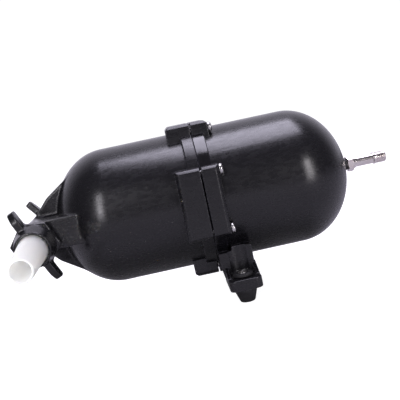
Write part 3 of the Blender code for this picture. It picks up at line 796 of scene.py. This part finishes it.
def build_hose_tail(side, port):
    """Nylon tail: rounded tip, three low barbs, stem, collar and a nose with an O-ring groove."""
    outline = [(6.75, BARB_TIP, 0.3), (7.5, BARB_TIP - 0.6, 0.5)]
    for number in range(BARBS):
        foot = BARB_TIP - BARB_LENGTH - BARB_SPACING * number
        radius = BARB_R + BARB_GROWTH * number
        outline += [(radius, foot, 0.5), (radius - BARB_STEP, foot - 0.5, 0.3)]
    outline += [
        (BARB_ROOT_R - 0.15, BARB_TIP - 36, 6), (BARB_ROOT_R, COLLAR[1], 0.2), (SPIGOT_R, COLLAR[1], 0.3),
        (SPIGOT_R, COLLAR[0], 0.3), (NOSE_R, COLLAR[0], 0.2), (NOSE_R, GROOVE[1], 0.15),
        (GROOVE_R, GROOVE[1], 0.1), (GROOVE_R, GROOVE[0], 0.1), (NOSE_R, GROOVE[0], 0.15),
        (NOSE_R, NOSE_END, 0.5), (5.0, NOSE_END, 0.3), (5.7, 62, 8), (6.15, BARB_TIP - 1, 0.8),
    ]
    tail = turned(side + "_hose_tail", rounded(outline, closed=True, steps=4), port, 96, closed=True)
    finish_piece(tail, NYLON, side + "_hose_barb", sharp=70)
    middle = sum(GROOVE) / 2
    wire = []
    for i in range(O_RING_SIDES):
        angle = -2 * math.pi * i / O_RING_SIDES
        wire.append((O_RING_R + O_RING_WIRE_R * math.cos(angle), middle + O_RING_WIRE_R * math.sin(angle)))
    ring = turned(side + "_nose_ring", wire, port, 72, closed=True)
    finish_piece(ring, SEAL_RUBBER, side + "_o_ring", sharp=80)


def hexagon_outline(corner_r, *rounding):
    """Corners of a hexagon, each with the radius it's rounded by, if one is given."""
    angles = [i * math.pi / 3 for i in range(6)]
    return [(corner_r * math.cos(angle), corner_r * math.sin(angle), *rounding) for angle in angles]


# The nut's outlines are (radius, height), apart from the hexagon, which is in the nut's plane
HEXAGON = rounded(hexagon_outline(NUT_RIM_R, 1.6), closed=True)
CONE = rounded([(-1, NUT_FRONT), (NUT_FRONT_R, NUT_FRONT, 0.5), (NUT_FRONT_R, NUT_FRONT - 1.2, 0.4),
                (NUT_CONE_R, 46, 2), (NUT_CONE_R, 41), (-1, 41)], closed=True)
WING = rounded([(9, WING_BACK), (WING_TIP_R, WING_BACK, 1.6), (WING_TIP_R, 45.4, 3.6), (20.5, 49.4, 7),
                (12, WING_TOP), (9, WING_TOP)], closed=True)
BORE_CHAMFER = 0.6
BORE = rounded([(-1, NUT_FRONT + 2), (NUT_HOLE_R + BORE_CHAMFER, NUT_FRONT + 2),
                (NUT_HOLE_R + BORE_CHAMFER, NUT_FRONT), (NUT_HOLE_R, NUT_FRONT - BORE_CHAMFER),
                (NUT_HOLE_R, NUT_SHOULDER), (NUT_THREAD_R, NUT_SHOULDER),
                (NUT_THREAD_R, NUT_BACK + BORE_CHAMFER), (NUT_THREAD_R + BORE_CHAMFER, NUT_BACK),
                (NUT_THREAD_R + BORE_CHAMFER, NUT_BACK - 2), (-1, NUT_BACK - 2)], closed=True)


def nut_distance(x, y, z):
    """Hexagon with a cone in front, a wing on two opposite corners and a threaded bore."""
    radius = np.hypot(x, y)
    middle = (NUT_HEX_FRONT + NUT_BACK) / 2
    half = (NUT_HEX_FRONT - NUT_BACK) / 2
    hexagon = crossed(NUT_HEX_EDGE, polygon_distance(x, y, HEXAGON), np.abs(z - middle) - half)
    body = merged(hexagon, polygon_distance(radius, z, CONE), NUT_CONE_FILLET)
    wings = crossed(WING_EDGE, polygon_distance(np.abs(x), z, WING), np.abs(y) - WING_HALF)
    wave = np.cos(np.arctan2(y, x) - 2 * math.pi * z / THREAD_PITCH)
    ridge = NUT_RIDGE * wave * (z < NUT_SHOULDER - 0.4)
    bore = polygon_distance(radius + np.maximum(ridge, 0), z, BORE)
    return np.maximum(merged(body, wings, WING_FILLET), -bore)


def build_wing_nut(side, port, wing_angle):
    reach, width = WING_TIP_R + 0.8, NUT_RIM_R + 1.2
    low, high = (-reach, -width, NUT_BACK - 1), (reach, width, NUT_FRONT + 1)
    nut = blended(side + "_winged_nut", nut_distance, low, high, NUT_GRID, port @ turn("Z", wing_angle))
    finish_piece(nut, NUT_BLACK, side + "_wing_nut", sharp=60)


# ---------------------------------------------------------------- air valve

def build_valve():
    """Nickel-plated valve: chamfered hexagon, plain stem, collar ring and a threaded mouth."""
    neck_r = SHANK_R - 0.15
    outline = rounded([
        (0, VALVE_TIP), (3.2, VALVE_TIP, 0.2), (MOUTH_R, VALVE_TIP - 0.5, 0.2), (MOUTH_R, MOUTH_START, 0.1),
        (VALVE_COLLAR_R, 122.8, 0.25), (VALVE_COLLAR_R, 121.6, 0.25), (STEM_R, 121.4, 0.2),
        (STEM_R, 108.9, 0.3), (4.0, 108.4, 0.2), (4.0, 106.8), (neck_r, 106.6), (neck_r, VALVE_INNER_END),
        (0, VALVE_INNER_END),
    ])
    valve = turned("valve_stem", outline, GAS_AXIS, 64)
    mouth = threaded("mouth", MOUTH_THREAD_R, MOUTH_THREAD_DEPTH, VALVE_THREAD, MOUTH_START + 0.2,
                     VALVE_TIP - 0.25, GAS_AXIS, 64)
    shank = threaded("shank", SHANK_R, SCREW_THREAD_DEPTH, SCREW_PITCH, VALVE_INNER_END + 0.3,
                     HEX[0] + 0.4, GAS_AXIS, 48)
    hexagon = extruded("hexagon", hexagon_outline(HEX_ACROSS / math.sqrt(3)), *HEX, GAS_AXIS)
    low, high = HEX
    cone = [(0, high + 0.1), (HEX_CHAMFER_R, high + 0.1), (6, high - 0.75),
            (6, low + 0.75), (HEX_CHAMFER_R, low - 0.1), (0, low - 0.1)]
    combine(hexagon, "INTERSECT", [turned("hexagon_corners", cone, GAS_AXIS, 64)])
    join(valve, mouth)
    join(valve, shank)
    join(valve, hexagon)
    bore = rounded([(0, VALVE_TIP + 1), (VALVE_BORE_R + 0.4, VALVE_TIP + 1), (VALVE_BORE_R + 0.4, VALVE_TIP),
                    (VALVE_BORE_R, VALVE_TIP - 0.4), (VALVE_BORE_R, 109.5), (1.3, 109),
                    (1.3, VALVE_INNER_END - 1), (0, VALVE_INNER_END - 1)])
    cut(valve, turned("bore", bore, GAS_AXIS, 48))
    finish_piece(valve, NICKEL, "valve_body")


def build_valve_parts():
    """The seal under the hexagon, and the valve core's sleeve and pin."""
    bore = SHANK_R + GAP
    seal = rounded([(bore, SEAL[0], 0.3), (bore, SEAL[1], 0.3), (SEAL_R, SEAL[1], 0.5),
                    (SEAL_R, SEAL[0], 0.5)], closed=True)
    finish_piece(turned("valve_washer", seal, GAS_AXIS, 64, closed=True), SEAL_RUBBER, "valve_seal")
    core = rounded([(CORE_BORE_R, CORE[0]), (CORE_BORE_R, CORE[1]), (1.5, CORE[1], 0.2), (1.5, 126.5, 0.1),
                    (2.35, 126.2, 0.2), (2.35, 119.5, 0.2), (1.9, 119.2, 0.1), (1.9, 117.8, 0.1),
                    (2.3, 117.5, 0.2), (2.3, CORE[0], 0.2)], closed=True)
    finish_piece(turned("valve_core_sleeve", core, GAS_AXIS, 48, closed=True), BRASS, "valve_core")
    pin = rounded([(0, PIN[1]), (PIN_R, PIN[1], 0.3), (PIN_R, PIN_SEAL[1], 0.1),
                   (PIN_SEAL_R, PIN_SEAL[1], 0.3), (PIN_SEAL_R, PIN_SEAL[0], 0.3),
                   (PIN_R, PIN_SEAL[0], 0.1), (PIN_R, PIN[0], 0.2), (0, PIN[0])])
    finish_piece(turned("valve_core_pin", pin, GAS_AXIS, 32), BRASS, "valve_pin")


def build_valve_spring():
    """Helix of round wire around the pin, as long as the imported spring."""
    low, high = (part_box("valve_spring")[i].x for i in (0, 1))
    curve = bpy.data.curves.new("valve_core_spring", "CURVE")
    curve.dimensions = "3D"
    curve.bevel_depth = SPRING_WIRE_R
    curve.bevel_resolution = 4
    curve.use_fill_caps = True
    spline = curve.splines.new("POLY")
    count = SPRING_TURNS * 24
    spline.points.add(count)
    start = (low - PART_LINE) / MM + SPRING_WIRE_R
    travel = (high - low) / MM - 2 * SPRING_WIRE_R
    for i, point in enumerate(spline.points):
        angle = 2 * math.pi * SPRING_TURNS * i / count
        height = start + travel * i / count
        point.co = (SPRING_R * math.cos(angle), SPRING_R * math.sin(angle), height, 1)
    guide = bpy.data.objects.new("spring_curve", curve)
    bpy.context.scene.collection.objects.link(guide)
    bpy.context.view_layer.update()
    mesh = bpy.data.meshes.new_from_object(guide.evaluated_get(bpy.context.evaluated_depsgraph_get()))
    bpy.data.objects.remove(guide, do_unlink=True)
    solid = bmesh.new()
    solid.from_mesh(mesh)
    bmesh.ops.remove_doubles(solid, verts=solid.verts, dist=0.001)
    finish_piece(add_mesh("valve_core_spring", solid, GAS_AXIS), SPRING_STEEL, "valve_spring", sharp=60)


# ---------------------------------------------------------------- feet

def build_foot(side, place_y):
    """Rubber grommet foot through the plate, with a steel bush up its middle."""
    place = TANK @ shift(FOOT_X, place_y)
    bottom = -AXIS_HEIGHT / MM
    stem_r = GROMMET_HOLE_R - GAP
    bore = BUSH_R + GAP
    under, over = PLATE_Z[0] - GAP, PLATE_Z[1] + GAP
    outline = rounded([
        (RUBBER_TOP_R, RUBBER_TOP, 0.8), (RUBBER_TOP_R, over, 0.5), (stem_r, over, 0.3),
        (stem_r, under, 0.3), (BUMPER_TOP_R, under, 0.4), (BUMPER_TOP_R, PLATE_Z[0] - 2, 1.2),
        (BUMPER_BOTTOM_R, bottom, 1.2), (RUBBER_BORE_R, bottom, 0.5), (RUBBER_BORE_R, BUSH[0] - GAP),
        (bore, BUSH[0] - GAP), (bore, RUBBER_TOP, 0.4),
    ], closed=True)
    foot = turned(side + "_grommet_foot", outline, place, 72, closed=True)
    finish_piece(foot, FOOT_RUBBER, side + "_rubber_foot")
    sleeve_outline = rounded([(BUSH_R, BUSH[1], 0.25), (BUSH_R, BUSH[0], 0.25), (BUSH_BORE_R, BUSH[0], 0.15),
                              (BUSH_BORE_R, BUSH[1], 0.15)], closed=True)
    sleeve = turned(side + "_bush_sleeve", sleeve_outline, place, 48, closed=True)
    finish_piece(sleeve, SPRING_STEEL, side + "_foot_bush")


# ---------------------------------------------------------------- floor, light and camera

def seen_plainly(tree):
    """1 for a ray straight from the camera or through the nylon, 0 for reflections and fill light."""
    path = tree.nodes.new("ShaderNodeLightPath")
    either = tree.nodes.new("ShaderNodeMath")
    either.operation = "MAXIMUM"
    tree.links.new(path.outputs["Is Camera Ray"], either.inputs[0])
    tree.links.new(path.outputs["Is Transmission Ray"], either.inputs[1])
    return either.outputs["Value"]


def build_floor():
    """Pale floor at the feet's level, white to the camera."""
    bpy.ops.mesh.primitive_plane_add(size=6)
    floor = bpy.context.object
    floor.name = "floor"
    material, tree, shader = new_material("pale_floor", 0.9, Specular_IOR_Level=0.1)
    tone = spread(tree, noise(tree, 3, 2), 0, 1)
    tree.links.new(mixed(tree, tone, (0.46, 0.45, 0.48), (0.44, 0.43, 0.46)), shader.inputs["Base Color"])
    shader.inputs["Emission Color"].default_value = (1, 1, 1, 1)
    tree.links.new(spread(tree, seen_plainly(tree), 0.05, 0.92, 0, 1), shader.inputs["Emission Strength"])
    floor.data.materials.append(material)


# How bright the studio walls are, from straight in front of the tank (0) to straight behind it (1)
WALL_LEVELS = ((0, 0.16), (0.45, 0.04), (0.62, 0.12), (0.85, 0.82))
BACKDROP = 1.05             # brightness of the white behind the object


def build_world():
    """White behind the object, and dimmer studio walls all round for reflections and fill."""
    world = bpy.data.worlds.new("studio")
    bpy.context.scene.world = world
    world.use_nodes = True
    tree = world.node_tree
    tree.nodes.clear()
    coordinates = tree.nodes.new("ShaderNodeTexCoord")
    split = tree.nodes.new("ShaderNodeSeparateXYZ")
    tree.links.new(coordinates.outputs["Generated"], split.inputs["Vector"])
    ramp = tree.nodes.new("ShaderNodeValToRGB")
    stops = ramp.color_ramp.elements
    four = (stops[0], stops[1], stops.new(0), stops.new(0))
    for stop, (depth, level) in zip(four, WALL_LEVELS):
        stop.position = depth
        stop.color = (level, level, level, 1)
    tree.links.new(spread(tree, split.outputs["Y"], 0, 1, -1, 1), ramp.inputs["Fac"])
    walls = tree.nodes.new("ShaderNodeBackground")
    walls.inputs["Color"].default_value = (0.98, 0.94, 1.10, 1)
    tree.links.new(ramp.outputs["Color"], walls.inputs["Strength"])
    backdrop = tree.nodes.new("ShaderNodeBackground")
    backdrop.inputs["Color"].default_value = (1, 1, 1, 1)
    backdrop.inputs["Strength"].default_value = BACKDROP
    mix = tree.nodes.new("ShaderNodeMixShader")
    output = tree.nodes.new("ShaderNodeOutputWorld")
    tree.links.new(seen_plainly(tree), mix.inputs["Fac"])
    tree.links.new(walls.outputs["Background"], mix.inputs[1])
    tree.links.new(backdrop.outputs["Background"], mix.inputs[2])
    tree.links.new(mix.outputs["Shader"], output.inputs["Surface"])


def add_softbox(name, centre, size, radiance, colour=(1, 1, 1)):
    """Rectangular light centred at a place measured from the tank's middle, in metres, and aimed at it."""
    light = bpy.data.lights.new(name, "AREA")
    light.shape = "RECTANGLE"
    light.size, light.size_y = size
    light.energy = radiance * math.pi * size[0] * size[1]
    light.color = colour
    lamp = bpy.data.objects.new(name, light)
    lamp.visible_camera = False
    bpy.context.scene.collection.objects.link(lamp)
    centre = Vector(centre)
    place = Matrix.Translation(centre + MIDDLE)
    lamp.matrix_world = place @ centre.to_track_quat("Z", "Y").to_matrix().to_4x4()
    return lamp


def build_lights():
    """Three softboxes for everything, and a fill that lights only the hose tails."""
    add_softbox("overhead_softbox", (0.20, 0.10, 1.0), (0.62, 0.60), 7.2, (0.97, 0.93, 1.12))
    add_softbox("left_softbox", (-0.47, -0.98, 0.44), (0.20, 0.80), 10.5, (1.0, 0.97, 1.04))
    add_softbox("right_softbox", (0.66, -0.96, 0.08), (0.28, 0.90), 9.0, (1.0, 0.96, 1.0))
    fill = add_softbox("nylon_fill", (-0.50, -0.90, 0.10), (0.50, 0.36), 45.0)
    lit = bpy.data.collections.new("nylon")
    for side in ("front", "rear"):
        lit.objects.link(bpy.data.objects[side + "_hose_tail"])
    fill.light_linking.receiver_collection = lit


# The camera's place as seen from its target: azimuth, elevation and roll in degrees, distance in metres
VIEW_ANGLES = (-1.9, 7.0, -12.05)
VIEW_DISTANCE = 0.5
VIEW_TARGET = (-2.4, 0, -3.0)       # millimetres from the tank's middle
LENS = 64.9


def build_camera():
    """The view, from almost straight in front and a little above, rolled so that the tank slopes."""
    azimuth, elevation, roll = (math.radians(angle) for angle in VIEW_ANGLES)
    back = Vector((math.sin(azimuth) * math.cos(elevation), -math.cos(azimuth) * math.cos(elevation),
                   math.sin(elevation)))
    right = Vector((math.cos(azimuth), math.sin(azimuth), 0))
    up = back.cross(right)
    rolled_right = right * math.cos(roll) + up * math.sin(roll)
    rolled_up = up * math.cos(roll) - right * math.sin(roll)
    target = MIDDLE + Vector(VIEW_TARGET) * MM
    data = bpy.data.cameras.new("camera")
    data.lens = LENS
    data.clip_start = 0.01
    camera = bpy.data.objects.new("camera", data)
    bpy.context.scene.collection.objects.link(camera)
    axes = Matrix((rolled_right, rolled_up, back)).transposed().to_4x4()
    camera.matrix_world = Matrix.Translation(target + back * VIEW_DISTANCE) @ axes
    bpy.context.scene.camera = camera


build_camera()
build_world()
build_floor()
build_water_shell()
build_gas_shell()
build_bladder()
build_flange_screws()
build_hose_tail("front", FRONT_PORT)
build_hose_tail("rear", REAR_PORT)
build_wing_nut("front", FRONT_PORT, FRONT_WING_ANGLE)
build_wing_nut("rear", REAR_PORT, REAR_WING_ANGLE)
build_valve()
build_valve_parts()
build_valve_spring()
build_foot("front", -FOOT_Y)
build_foot("rear", FOOT_Y)
build_lights()
bpy.context.scene.view_settings.view_transform = "Standard"
